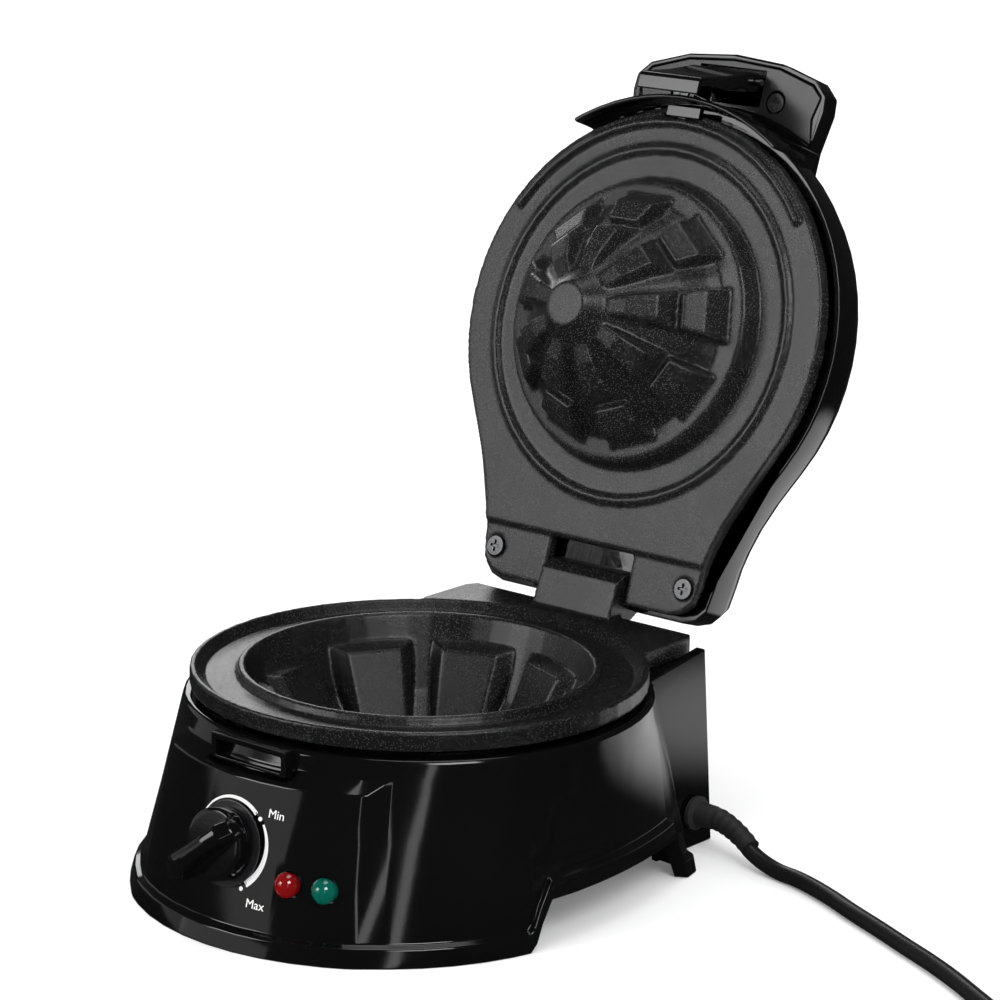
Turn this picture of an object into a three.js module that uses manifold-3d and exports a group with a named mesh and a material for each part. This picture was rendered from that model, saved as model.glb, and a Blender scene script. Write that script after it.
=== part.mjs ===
// Single-cavity donut / waffle-bowl maker, lid standing open on its stop.
// Millimetres, +Z up, front of the appliance towards -Y.
// Inner coordinates: origin at the centre of the lower plate's rim top;
// the whole assembly is lifted so that the table is z = 0.
import * as THREE from 'three';
import { ConvexGeometry } from 'three/addons/geometries/ConvexGeometry.js';
import { mergeVertices } from 'three/addons/utils/BufferGeometryUtils.js';
import Module from 'manifold-3d';
const wasm = await Module();
wasm.setup();

// ---------------------------------------------------------------- dimensions
const H = 83.1;            // table to lower plate rim top
const YS = -39.36;         // puts the origin under the middle of the box round the appliance
const SEG = 48;            // sides of the big turned shapes
const R_PLATE = 90;        // lower plate outer radius
const R_DRUM = 92.1;       // housing top edge radius
const Z_DRUM = -10.0;      // housing top edge
const FOOT_R = 100, FOOT_Y = -19.8, FOOT_B = 190;   // oval footprint
const FLANGE_H = 8, FLANGE_D = 2.6;                  // foot flange height and step
const ARCH = 18;           // side arch height
const BLOCK_X = 65, BLOCK_XB = 70.8, BLOCK_Y = 100;   // rear block: half width at top, at table, back face
const HINGE_Y = 109, HINGE_Z = 8.5;                  // hinge axis
const OPEN_DEG = 107.8;    // lid against its stop
const N_PADS = 9;          // blocks round the cavity, in both plates
const TILT = 13.2 * Math.PI / 180;   // control panel lean
const PANEL_TURN = 0.55;   // share of the bearing from the front by which things on the panel turn
const PI = Math.PI, D2R = PI / 180;

// ---------------------------------------------------------------- helpers
function solid(geo) {
  let g = geo.clone();
  for (const k of Object.keys(g.attributes)) if (k !== 'position') g.deleteAttribute(k);
  g = mergeVertices(g, 1e-4);
  const ix = g.index.array, keep = [];
  for (let i = 0; i < ix.length; i += 3)
    if (ix[i] !== ix[i + 1] && ix[i + 1] !== ix[i + 2] && ix[i] !== ix[i + 2]) keep.push(ix[i], ix[i + 1],
      ix[i + 2]);
  // faces must point out: turn the winding round where the signed volume is negative
  const P = g.attributes.position.array;
  let vol = 0;
  for (let i = 0; i < keep.length; i += 3) {
    const a = keep[i] * 3, b = keep[i + 1] * 3, c = keep[i + 2] * 3;
    vol += P[a] * (P[b + 1] * P[c + 2] - P[b + 2] * P[c + 1])
      - P[a + 1] * (P[b] * P[c + 2] - P[b + 2] * P[c])
      + P[a + 2] * (P[b] * P[c + 1] - P[b + 1] * P[c]);
  }
  if (vol < 0) for (let i = 0; i < keep.length; i += 3) [keep[i + 1], keep[i + 2]] = [keep[i + 2],
    keep[i + 1]];
  return new wasm.Manifold(new wasm.Mesh({
    numProp: 3, vertProperties: new Float32Array(g.attributes.position.array),
    triVerts: new Uint32Array(keep) }));
}
function toGeo(m) {
  const k = m.getMesh(), g = new THREE.BufferGeometry();
  g.setAttribute('position', new THREE.BufferAttribute(new Float32Array(k.vertProperties), 3));
  g.setIndex(new THREE.BufferAttribute(new Uint32Array(k.triVerts), 1));
  return g;
}
const box = (x0, x1, y0, y1, z0, z1) => solid(new THREE.BoxGeometry(x1 - x0, y1 - y0, z1 - z0)
  .translate((x0 + x1) / 2, (y0 + y1) / 2, (z0 + z1) / 2));
const cyl = (r, z0, z1, n = 24, r2 = r) => solid(new THREE.CylinderGeometry(r2, r, z1 - z0, n)
  .rotateX(PI / 2).translate(0, 0, (z0 + z1) / 2));
const cylX = (r, x0, x1, y, z, n = 20) => solid(new THREE.CylinderGeometry(r, r, x1 - x0, n)
  .rotateZ(PI / 2).translate((x0 + x1) / 2, y, z));
const lathe = (pts, n = SEG) => solid(new THREE.LatheGeometry((pts[0][0] > 0 ? [...pts, pts[0]] : pts)
  .map(p => new THREE.Vector2(p[0], p[1])), n).rotateX(PI / 2));
function prism(pts, z0, z1) {
  const s = new THREE.Shape(pts.map(p => new THREE.Vector2(p[0], p[1])));
  return solid(new THREE.ExtrudeGeometry(s, { depth: z1 - z0, bevelEnabled: false, curveSegments: 12 })
    .translate(0, 0, z0));
}
// profile in (y, z) pushed along x
function prismX(pts, x0, x1) {
  const s = new THREE.Shape(pts.map(p => new THREE.Vector2(p[0], p[1])));
  const g = new THREE.ExtrudeGeometry(s, { depth: x1 - x0, bevelEnabled: false, curveSegments: 12 });
  g.applyMatrix4(new THREE.Matrix4().set(0, 0, 1, x0, 1, 0, 0, 0, 0, 1, 0, 0, 0, 0, 0, 1));
  return solid(g);
}
// closed skin over rings of equal length, bottom ring first, counter-clockwise from above
function loft(rings) {
  const n = rings[0].length, v = [], t = [];
  for (const r of rings) for (const p of r) v.push(...p);
  for (let i = 0; i < rings.length - 1; i++) for (let j = 0; j < n; j++) {
    const a = i * n + j, b = i * n + (j + 1) % n, c = a + n, d = b + n;
    t.push(a, b, d, a, d, c);
  }
  const mid = r => [0, 1, 2].map(k => r.reduce((s, p) => s + p[k], 0) / n);
  const b0 = v.length / 3;
  v.push(...mid(rings[0]));
  const t0 = v.length / 3;
  v.push(...mid(rings[rings.length - 1]));
  const L = (rings.length - 1) * n;
  for (let j = 0; j < n; j++) {
    t.push(b0, (j + 1) % n, j);
    t.push(t0, L + j, L + (j + 1) % n);
  }
  const g = new THREE.BufferGeometry();
  g.setAttribute('position', new THREE.Float32BufferAttribute(v, 3));
  g.setIndex(t);
  return solid(g);
}
const hull = pts => solid(new ConvexGeometry(pts.map(p => new THREE.Vector3(...p))));
const pol = (r, deg, z) => [r * Math.cos(deg * D2R), r * Math.sin(deg * D2R), z];
// round rod along a list of points
function rod(pts, r, n = 8, steps = 24, tension = 0.5) {
  const c = new THREE.CatmullRomCurve3(pts.map(p => new THREE.Vector3(...p)), false, 'centripetal',
    tension);
  const s = new THREE.Shape();
  s.absarc(0, 0, r, 0, 2 * PI, false);
  return solid(new THREE.ExtrudeGeometry(s, { steps, extrudePath: c, curveSegments: Math.max(2, n / 2),
    bevelEnabled: false }));
}
const sum = list => list.reduce((a, b) => a.add(b));
const mats = {};
const mat = (name, color, roughness, metalness = 0,
  opacity = 1) => mats[name] ||= new THREE.MeshStandardMaterial(
  { name, color, roughness, metalness, opacity, transparent: opacity < 1 });
const gloss = mat('gloss_black', 0x0a0a0b, 0.12), coat = mat('nonstick', 0x2a2a2c, 0.55),
  coat2 = mat('nonstick_lid', 0x2d2d2f, 0.55), panelSlot = mat('satin_black', 0x121213, 0.35),
  steel = mat('steel', 0x8e9092, 0.3, 1), rubber = mat('rubber', 0x161616, 0.85),
  red = mat('red_lens', 0xb01018, 0.08, 0, 0.75), green = mat('green_lens', 0x0a8a66, 0.08, 0, 0.75),
  cordM = mat('cord', 0x131313, 0.45), inner = mat('inner_plastic', 0x1a1a1b, 0.6), zinc = mat('zinc',
    0x777a7c, 0.4, 1),
  brass = mat('brass', 0xb08d4a, 0.3, 1);

const root = new THREE.Group();
root.position.set(0, YS, H);
const lid = new THREE.Group(), lidIn = new THREE.Group();
lid.position.set(0, HINGE_Y, HINGE_Z);
lid.rotation.x = -OPEN_DEG * D2R;
lidIn.position.set(0, -HINGE_Y, -HINGE_Z);
lid.add(lidIn);
root.add(lid);
const base = root;
function put(group, name, m, material) {
  const k = new THREE.Mesh(m.isBufferGeometry ? m : toGeo(m), material);
  k.name = name;
  group.add(k);
  return k;
}

// ---------------------------------------------------------------- housing
// oval footprint radius from the axis at an angle (degrees)
function footR(deg) {
  const c = Math.cos(deg * D2R), s = Math.sin(deg * D2R);
  // circle in front of FOOT_Y, longer ellipse behind it
  const f = B => {
    const A = c * c / (FOOT_R * FOOT_R) + s * s / (B * B), Bb = -2 * s * FOOT_Y / (B * B),
      C = FOOT_Y * FOOT_Y / (B * B) - 1;
    return (-Bb + Math.sqrt(Bb * Bb - 4 * A * C)) / (2 * A);
  };
  const r = f(FOOT_R);
  return r * s < FOOT_Y ? r : Math.min(f(FOOT_B), 112);
}
const smooth = (a, b, x) => { const t = Math.min(1, Math.max(0,
  (x - a) / (b - a))); return t * t * (3 - 2 * t); };
const lin = (a, b, x) => Math.min(1, Math.max(0, (x - a) / (b - a)));
// height of the bottom edge above the table: an arch along each side
function edgeZ(deg) {
  const a = Math.abs(((deg + 270) % 360) - 180);      // 0 at the front, 180 at the rear
  return ARCH * smooth(64.5, 70.5, a) * (1 - smooth(119, 122, a));
}
// the control panel stands proud of the drum
function proud(deg, z) {
  const a = Math.abs(deg + 90);
  const face = 1 - lin(27.9, 34.5, a);
  const up = 1 - lin(-21.6, -17.2, z);
  const k = lin(-H + FLANGE_H, -21.6, z);
  return face * up * (0.8 + 5.0 * k);
}
const angles = [];
for (let a = -180; a < 180; a += 6) angles.push(a);
for (const a of [-124.5, -117.9, -62.1, -55.5, -25.5, -22.5, -19.5, 29, 32, -154.5, -157.5, -160.5, 151,
  148]) angles.push(a);
angles.sort((p, q) => p - q);
function drumRing(z, deg, inset = 0, flange = 0) {
  const t = lin(Z_DRUM, -H, z);
  const r = R_DRUM + (footR(deg) - FLANGE_D - R_DRUM) * t - inset + flange;
  return r + (inset ? 0 : proud(deg, z));
}
function onFace(x, z) {            // point of the panel's surface at a given x and z
  let y = -105;
  for (let i = 0; i < 12; i++) {
    const deg = Math.atan2(y, x) / D2R;
    y = -Math.sqrt(drumRing(z, deg) ** 2 - x * x);
  }
  return [x, y, z];
}
const KNOB = onFace(0.5, -46.4), RED = onFace(29.0, -56.2), GREEN = onFace(42.6, -56.6);
{
  const rings = [];
  const eb = a => -H + edgeZ(a);
  rings.push(angles.map(a => pol(drumRing(eb(a), a, 0, FLANGE_D), a, eb(a))));
  rings.push(angles.map(a => pol(drumRing(eb(a) + FLANGE_H - 1, a, 0, FLANGE_D), a, eb(a) + FLANGE_H - 1)));
  rings.push(angles.map(a => pol(drumRing(eb(a) + FLANGE_H, a, 0, 0), a, eb(a) + FLANGE_H)));
  for (const z of [-40, -21.6, -17.2, Z_DRUM - 1.2])
    rings.push(angles.map(a => pol(drumRing(z, a), a, z)));
  rings.push(angles.map(a => pol(R_DRUM - 1, a, Z_DRUM)));
  const REAR = 66;                                     // the drum ends in a flat rear wall
  const drum = loft(rings).subtract(box(-130, 130, REAR, 140, -90, 5));
  // rear block: straight sides to the table, deck rising to the rear
  const hb = -H;
  let block = loft([
    [[-BLOCK_XB, 52, hb], [BLOCK_XB, 52, hb], [BLOCK_XB, BLOCK_Y, hb], [-BLOCK_XB, BLOCK_Y, hb]],
    [[-BLOCK_X, 52, Z_DRUM - 0.8], [BLOCK_X, 52, Z_DRUM - 0.8], [BLOCK_X, BLOCK_Y, -3.7], [-BLOCK_X,
      BLOCK_Y, -3.7]]]);
  let h = drum.add(block);
  // hollow inside
  const inr = [];
  inr.push(angles.map(a => pol(drumRing(-H - 2, a, 2.6), a, -H - 2)));
  inr.push(angles.map(a => pol(drumRing(-14, a, 2.6), a, -14)));
  h = h.subtract(loft(inr).subtract(box(-130, 130, REAR - 2.6, 140, -90, 5)));
  h = h.subtract(cyl(87, -15, 5, SEG));
  h = h.subtract(loft([
    [[-BLOCK_XB + 2.6, 50, hb - 2], [BLOCK_XB - 2.6, 50, hb - 2], [BLOCK_XB - 2.6, BLOCK_Y - 2.6, hb - 2],
      [-BLOCK_XB + 2.6, BLOCK_Y - 2.6, hb - 2]],
    [[-BLOCK_X + 2.6, 50, -13.2], [BLOCK_X - 2.6, 50, -13.2], [BLOCK_X - 2.6, BLOCK_Y - 2.6, -13.2],
      [-BLOCK_X + 2.6, BLOCK_Y - 2.6, -13.2]]]));
  // tray for the plate's rear platform
  h = h.subtract(box(-60.5, 60.5, 50, 104, -10.3, 4));
  h = h.subtract(box(-30, 30, 88, 97, -20, 0));
  // openings: knob shaft, lamps, cord
  const ax = new THREE.Matrix4();
  const drill = (p, r, d0, d1) => {
    const n = Math.atan2(p[0], -p[1]) * PANEL_TURN;
    const g = new THREE.CylinderGeometry(r, r, d1 - d0, 20).rotateX(PI / 2).translate(0, 0, (d0 + d1) / 2);
    ax.makeRotationX(PI / 2 - TILT);
    g.applyMatrix4(ax);
    ax.makeRotationZ(n);
    g.applyMatrix4(ax);
    g.translate(...p);
    return solid(g);
  };
  h = h.subtract(drill(KNOB, 5, -20, 12)).subtract(drill(RED, 4.9, -20, 12)).subtract(drill(GREEN, 4.9,
    -20, 12));
  h = h.subtract(cylX(5.2, 60, 80, 88, -H + 14.5));
  // recess under the latch keeper
  h = h.subtract(box(-20.6, 20.6, -104, -80, -20.8, -8).subtract(loft([-30, Z_DRUM - 1.2,
    0].map(z => angles.map(a => pol(drumRing(Math.min(z, Z_DRUM - 1.2), a, -0.02), a, z))))));
  put(base, 'base_housing', h, gloss);
}
// placement of things on the leaning panel: local +z out of the panel
function onPanel(m, p, spin = 0) {
  const g = toGeo(m), q = new THREE.Matrix4();
  if (spin) g.applyMatrix4(q.makeRotationZ(spin));
  g.applyMatrix4(q.makeRotationX(PI / 2 - TILT));
  g.applyMatrix4(q.makeRotationZ(Math.atan2(p[0], -p[1]) * PANEL_TURN));
  return g.translate(...p);
}

// ---------------------------------------------------------------- bottom cover, feet, screws
{
  const r = angles.map(a => pol(Math.min(drumRing(-62, a, 3.2), 95), a, 0));
  let c = prism(r.map(p => [p[0], p[1]]), -65.2, -63.2).subtract(box(-130, 130, 62.8, 140, -90, 5));
  c = c.add(box(-62.5, 62.5, 60, 95.5, -65.2, -63.2));
  const posts = [[-52, -72], [52, -72], [-56, 86], [56, 86]];
  const screws = [[-40, -40], [40, -40], [-40, 40], [40, 40]];
  for (const [x, y] of posts) c = c.add(cyl(6, -H + 3.3, -64, 10).translate(x, y, 0));
  for (const [x, y] of screws) c = c.subtract(cyl(2.3, -70, -55, 12).translate(x, y, 0));
  for (let i = -2; i <= 2; i++) c = c.subtract(box(-22, 22, i * 9 - 2, i * 9 + 2, -70, -55));
  put(base, 'bottom_cover', c, inner);
  posts.forEach(([x, y], i) => put(base, 'foot_' + (i + 1), cyl(7.5, -H, -H + 3, 20, 6.8).translate(x, y,
    0), rubber));
  screws.forEach(([x, y], i) => put(base, 'cover_screw_' + (i + 1),
    cyl(3.6, -67.4, -65.5, 16).add(cyl(1.9, -65.6, -58, 12)).subtract(box(-2.4, 2.4, -0.5, 0.5, -68.4,
      -66.4)).translate(x, y, 0), zinc));
}

// ---------------------------------------------------------------- lower plate
{
  let p = lathe([[0, -57], [28, -54], [46, -45], [57, -30], [64.6, -10.2], [68.2, -0.8], [69, 0],
    [70.8, 0], [72.2, -3.6],
    [84, -4], [87.6, -0.6], [88.2, 0], [89.6, 0], [90, -0.6], [90, -7.6], [86, -7.6], [76, -7.6],
      [71.8, -11], [68, -12], [60.4, -31.5], [49, -47.6],
    [30, -57.4], [0, -60.2]]);
  // rear platform and hinge knuckle
  let w = prism([[-56.5, 60], [56.5, 60], [58.5, 70], [58.5, 97], [56, 101.6], [-56, 101.6], [-58.5, 97],
    [-58.5, 70]], -7.6, 0.2);
  w = w.subtract(cyl(89, -20, 10, SEG));
  let kn = prismX([[93.4, -7], [93.4, 0.2], [97, 9], [99.6, 15.2], [105, 17.4], [112, 16.8], [116.6, 12],
    [117.4, 6], [113, -1], [104, -5], [101, -7]], -20, 20);
  p = p.add(w).add(kn);
  p = p.subtract(cylX(3.3, -30, 30, HINGE_Y, HINGE_Z, 20));
  for (let i = 0; i < N_PADS; i++) {
    const c = -90 + i * 360 / N_PADS;
    const q = [];
    for (const s of [-1, -0.5, 0, 0.5, 1]) q.push(pol(66, c + s * 16.9, -10.4), pol(59.6, c + s * 16.4,
      -29), pol(48.2, c + s * 15, -46),
      pol(57, c + s * 11.9, -12), pol(54, c + s * 12.2, -25), pol(42.5, c + s * 12.4, -42),
        pol(38, c + s * 13, -50.4));
    p = p.add(hull(q));
  }
  put(base, 'lower_plate', p, coat);
}
{
  // sheathed heater ring under the plate, ends turned down
  const pts = [];
  for (let a = 20; a <= 340; a += 20) pts.push(pol(79, a - 90, -12.2));
  pts.unshift([pts[0][0], pts[0][1], -24]);
  pts.push([pts[pts.length - 1][0], pts[pts.length - 1][1], -24]);
  put(base, 'lower_heater', rod(pts, 3.2, 8, 32), steel);
  put(base, 'lower_reflector', lathe([[66, -40], [80, -30], [85, -29.2], [85, -30.2], [80, -31],
    [66, -41]], 28), zinc);
}
// ---------------------------------------------------------------- hinge pin, keeper
put(base, 'hinge_pin', cylX(2.8, -29.6, 29.6, HINGE_Y, HINGE_Z, 16), steel);
{
  // loop on the front of the housing: a frame round a window, its back against the wall
  const wall = loft([-30, Z_DRUM - 1.2, 0].map(z => angles.map(a => pol(drumRing(Math.min(z, Z_DRUM - 1.2),
    a, -0.35), a, z))));
  let k = box(-19.1, 19.1, -97.3, -88, -19.4, -9.3).subtract(box(-16.6, 16.6, -99, -80, -18.1, -11.9))
    .subtract(wall);
  put(base, 'latch_keeper', k, gloss);
}
// ---------------------------------------------------------------- control panel
{
  // knob: skirt disc with a pinched grip bar, pointing to the off mark
  let k = cyl(15.2, 1.6, 3.2, 40, 15.2).add(cyl(14.2, 3, 9.5, 40, 13.2));
  let grip = hull([[-4.4, -15, 3], [4.4, -15, 3], [-3.0, 17.6, 3.2], [3.0, 17.6, 3.2], [-2.2, 19.5, 5],
    [2.2, 19.5, 5],
    [-3.2, -14.6, 15.5], [3.2, -14.6, 15.5], [-2.3, 18.4, 17], [2.3, 18.4, 17], [0, -15.6, 12], [-2.6, 17,
      18.2], [2.6, 17, 18.2], [-3, -10, 18], [3, -10, 18]]);
  k = k.add(grip).subtract(cyl(3.3, 0, 9, 16));
  put(base, 'knob', onPanel(k, KNOB, (223 - 90) * D2R), gloss);
  put(base, 'thermostat_shaft', onPanel(cyl(3, -9.6, 8.6, 16), KNOB), brass);
  put(base, 'knob_bezel', onPanel(cyl(16.3, 0.35, 1.2, 40).subtract(cyl(3.6, -1, 3, 20)), KNOB), panelSlot);
  put(base, 'thermostat_body', onPanel(cyl(4.6, -9.4, -4.4, 20).add(box(-15, 15, -6, 12, -24, -9))
    .subtract(cyl(3.4, -12, 0, 16)), KNOB), zinc);
  const lens = () => lathe([[0, -6], [4.5, -6], [4.5, 0.4], [4.8, 0.6], [4.9, 1.3], [4.6, 2.6], [3.2, 4.2],
    [1.6, 5], [0, 5.2]], 24);
  put(base, 'red_lens', onPanel(lens(), RED), red);
  put(base, 'green_lens', onPanel(lens(), GREEN), green);
  put(base, 'red_lamp', onPanel(cyl(2.6, -11.5, -6.4, 12), RED), inner);
  put(base, 'green_lamp', onPanel(cyl(2.6, -11.5, -6.4, 12), GREEN), inner);
}
// ---------------------------------------------------------------- cord and plug
const CORD_R = 3.3;
const CORD_Y = 88, CORD_Z = -H + 14.5;         // where the cord leaves the rear block
const TABLE_Z = -H + 3.4;                      // centreline of a cord lying on the table
const COIL_X = 299, COIL_Y = 40.4, COIL_R = 36, COIL_TURNS = 2.25, COIL_RISE = 7.2;
put(base, 'cord_gland', cylX(4.9, 65.4, 70.4, CORD_Y, CORD_Z).add(cylX(4.9, 70, 71.5, CORD_Y, CORD_Z))
  .add(cylX(7.2, 70.9, 73, CORD_Y, CORD_Z, 24)).add(cylX(5.0, 72, 81, CORD_Y, CORD_Z))
  .subtract(cylX(3.9, 60, 85, CORD_Y, CORD_Z)), rubber);
const route = [[66, CORD_Y, CORD_Z], [83, CORD_Y, CORD_Z], [93, 86.4, CORD_Z - 3.2], [103, 83.4, -H + 6.4],
  [116, 80.6, TABLE_Z], [130, 77.6, TABLE_Z], [148, 71, TABLE_Z], [166, 62.4, TABLE_Z], [200, 46.8,
    TABLE_Z],
  [233, 30.6, TABLE_Z], [262, 13.6, TABLE_Z], [278, 7.0, TABLE_Z], [288, 4.8, TABLE_Z],
  [COIL_X - 2.2, COIL_Y - COIL_R, TABLE_Z]];
put(base, 'cord', rod(route, CORD_R, 8, 30), cordM);
{
  // flat coil of turns lying on one another, wound from its front point
  const pts = [], steps = COIL_TURNS * 16;
  for (let i = 0; i <= steps; i++) {
    const a = -90 + i * 360 / 16;
    const [x, y] = pol(COIL_R, a, 0);
    pts.push([COIL_X + x, COIL_Y + y, TABLE_Z + COIL_RISE * i / 16]);
  }
  put(base, 'cord_coil', rod(pts, CORD_R, 8, 42), cordM);
  const top = pts[steps][2], X = COIL_X + COIL_R;
  put(base, 'cord_tail', rod([[X, COIL_Y + 1.6, top], [X + 0.8, COIL_Y + 8.4, top - 0.2],
    [X + 4.5, COIL_Y + 22.4, TABLE_Z + 11], [X + 6, COIL_Y + 42.4, TABLE_Z + 5.6],
    [X + 1, COIL_Y + 62.4, TABLE_Z + 3.2], [X - 5, COIL_Y + 76.4, TABLE_Z + 3.2]], CORD_R, 8, 14), cordM);
}
{
  const X = COIL_X + 31, Y = COIL_Y + 78.6, Z = TABLE_Z + 3.2;
  const end = (w, y, z0, z1) => [[X - w, y, z0], [X + w, y, z0], [X - w, y, z1], [X + w, y, z1]];
  put(base, 'plug_body', hull([...end(4, Y, Z - 4, Z + 4), ...end(12, Y + 16, Z - 6.4, Z + 7),
    ...end(12, Y + 30, Z - 6.4, Z + 7)]), rubber);
  put(base, 'plug_blade_1', box(X - 7.1, X - 5.6, Y + 30.3, Y + 48, Z - 3, Z + 3.4), brass);
  put(base, 'plug_blade_2', box(X + 5.6, X + 7.1, Y + 30.3, Y + 48, Z - 3, Z + 3.4), brass);
}

// ---------------------------------------------------------------- lid (closed-lid coordinates)
// half outline of the upper plate, from the front centre round the right side
function lidOutline(grow) {
  const pts = [], R = 89 + grow;
  for (let a = -90; a <= 33; a += 6) pts.push([R * Math.cos(a * D2R), R * Math.sin(a * D2R)]);
  for (const [x, y] of [[68.2, 62], [62.6, 74], [59.2, 84], [57.2, 92], [56.2, 100], [54.6, 107.5],
    [50.4, 111.8], [44, 113.8]]) pts.push([x + grow * 0.9, y + (y > 100 ? grow * 0.55 : 0)]);
  const l = pts.slice(1).reverse().map(p => [-p[0], p[1]]);
  return pts.concat(l);
}
{
  let p = prism(lidOutline(0), 0.5, 6.6);
  p = p.subtract(box(-70, 70, 91.8, 130, -1, 2.0));
  // raised disc, dome core, nub
  p = p.add(lathe([[0, -50.7], [8.7, -50.7], [9.6, -50], [15.4, -42.4], [20, -37.6], [30, -30],
    [38, -21.5], [45, -12.6], [49, -9.2], [57.4, -8.5], [58.6, -7.6], [60.4, 1], [60.4, 3], [0, 3]], 36));
  // sealing bead
  p = p.add(lathe([[71.8, 2], [71.8, -0.4], [72.6, -1.2], [74.2, -1.2], [75, -0.4], [75, 2]], SEG));
  for (let i = 0; i < N_PADS; i++) {
    const c = -90 + i * 360 / N_PADS;
    let q = [];
    for (const s of [-1, 1]) q.push(pol(53, c + s * 12, -7), pol(53, c + s * 12, -8.6), pol(48.6,
      c + s * 11, -19.6), pol(40.5, c + s * 10.2, -25.2), pol(34, c + s * 12.5, -20), pol(40, c + s * 13,
      -10));
    p = p.add(hull(q));
    q = [];
    for (const s of [-1, 1]) q.push(pol(37.2, c + s * 14, -21.5), pol(35, c + s * 8.6, -34.4),
      pol(24, c + s * 9.6, -40.8), pol(13, c + s * 12, -43.6), pol(13, c + s * 14, -36),
      pol(26, c + s * 15.5, -30));
    p = p.add(hull(q));
  }
  // arc lip round the front half
  let lip = lathe([[83.4, 2], [83.4, -1.9], [85.6, -1.9], [86.2, 2]], SEG);
  lip = lip.intersect(hull([[0, 0, -5], [0, 0, 5], ...[-151, -130, -110, -90, -70, -50,
    -37].flatMap(a => [pol(100, a, -5), pol(100, a, 5)])]));
  p = p.add(lip);
  // hollow back
  p = p.subtract(lathe([[0, -40], [9, -39.4], [16, -33.6], [27, -25.6], [35, -16.6], [42, -8], [47, -5],
    [55, -4.4], [56.4, 4], [56.4, 12], [0, 12]], 24));
  // hinge notch and screw seats
  p = p.subtract(box(-21.6, 21.6, 93, 130, -5, 12));
  for (const x of [-49.4, 49.4]) p = p.subtract(cyl(4.6, 1, 3.2, 20).translate(x, 102.2, 0))
    .subtract(cyl(2.4, 0, 10, 16).translate(x, 102.2, 0));
  p = p.subtract(box(-10, 10, -92, -86.6, -1, 8));
  // room for the hinge lugs
  for (const x of [-26, 26]) p = p.subtract(box(x - 4.6, x + 4.6, 102.6, 120, 4.0, 9));
  put(lidIn, 'upper_plate', p, coat2);
  [-49.4, 49.4].forEach((x, i) => put(lidIn, 'lid_screw_' + (i + 1), cyl(4.2, 1.2, 2.9, 20)
    .add(cyl(1.9, 2.8, 9.6, 12))
    .subtract(box(-2.4, 2.4, -0.5, 0.5, 0, 2.2)).subtract(box(-0.5, 0.5, -2.4, 2.4, 0, 2.2)).translate(x,
      102.2, 0), zinc));
  put(lidIn, 'plate_clip', box(-8.5, 8.5, -91.6, -87, 0.2, 3).add(box(-6, 6, -90.6, -88.4, 2.9, 7.9)),
    gloss);
}
{
  const pts = [];
  for (let a = 20; a <= 340; a += 20) pts.push(pol(50, a + 90, 0.5));
  pts.unshift([pts[0][0], pts[0][1], 14]);
  pts.push([pts[pts.length - 1][0], pts[pts.length - 1][1], 14]);
  put(lidIn, 'upper_heater', rod(pts, 3.2, 8, 28), steel);
}
{
  const o = lidOutline(4);
  const ring = (s, z) => o.map(p => [p[0] * s, (p[1] - 8) * s + 8, z]);
  let h = loft([ring(1, 8.4), ring(1.0, 20), ring(0.97, 26.5), ring(0.9, 32.5), ring(0.7, 37), ring(0.35,
    39)]);
  // handle slab
  const half = [[46, -60], [46.5, -84], [49.4, -100], [48.8, -107], [43, -112.6], [24, -118], [0, -119.8]];
  const hs = half.concat(half.slice(0, -1).reverse().map(p => [-p[0], p[1]]));
  const hring = (s, z) => hs.map(p => [p[0] * s, (p[1] + 90) * s - 90, z]);
  h = h.add(loft([hring(1, 28), hring(1, 37), hring(0.94, 39.2)]));
  h = h.subtract(loft([ring(0.965, 7), ring(0.965, 18), ring(0.93, 24.5), ring(0.86, 30), ring(0.66, 34.4),
    ring(0.3, 36.2)]));
  // handle pocket for the cover and the latch
  const cv = (g, z0, z1) => {
    const q = [[44 - g, -96.5], [46.4 - g, -106 + g * 0.6], [41.6 - g, -110.6 + g], [23.4, -115.8 + g],
      [0, -117.4 + g], [-23.4, -115.8 + g], [-41.6 + g, -110.6 + g], [-46.4 + g, -106 + g * 0.6], [-44 + g,
      -96.5]];
    const arc = [];
    for (let a = -118; a <= -62; a += 8) arc.push([97.5 * Math.cos(a * D2R), 97.5 * Math.sin(a * D2R)]);
    return prism(q.concat(arc), z0, z1);
  };
  h = h.subtract(cv(0, 27, 30));
  h = h.subtract(box(-19, 19, -114.5, -99, 27, 36.8));
  // skirt round the front of the rim
  let sk = lathe([[93.6, -4.5], [95.6, -4.5], [95.9, 10], [93, 16], [91, 16], [93, 9]], 72);
  sk = sk.intersect(hull([[0, 0, -9], [0, 0, 20], ...[-123, -112, -101, -90, -79, -68,
    -57].flatMap(a => [pol(106, a, -9), pol(106, a, 20)])]));
  h = h.add(sk);
  // rear: notch for the knuckle, hinge lugs
  h = h.subtract(box(-21.6, 21.6, 94, 130, 0, 26));
  for (const s of [-1, 1]) {
    const x0 = s > 0 ? 22 : -29.8, x1 = s > 0 ? 29.8 : -22;
    h = h.add(prismX([[103, 7.2], [105, 4.4], [112.6, 4.4], [114.6, 7], [114.6, 22], [103, 22]], x0, x1));
  }
  h = h.subtract(cylX(3.1, -31, 31, HINGE_Y, HINGE_Z, 20));
  for (const x of [-49.4, 49.4]) h = h.add(cyl(4.4, 7.2, 24, 16).translate(x, 102.2, 0))
    .subtract(cyl(2.3, 0, 12, 16).translate(x, 102.2, 0));
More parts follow.
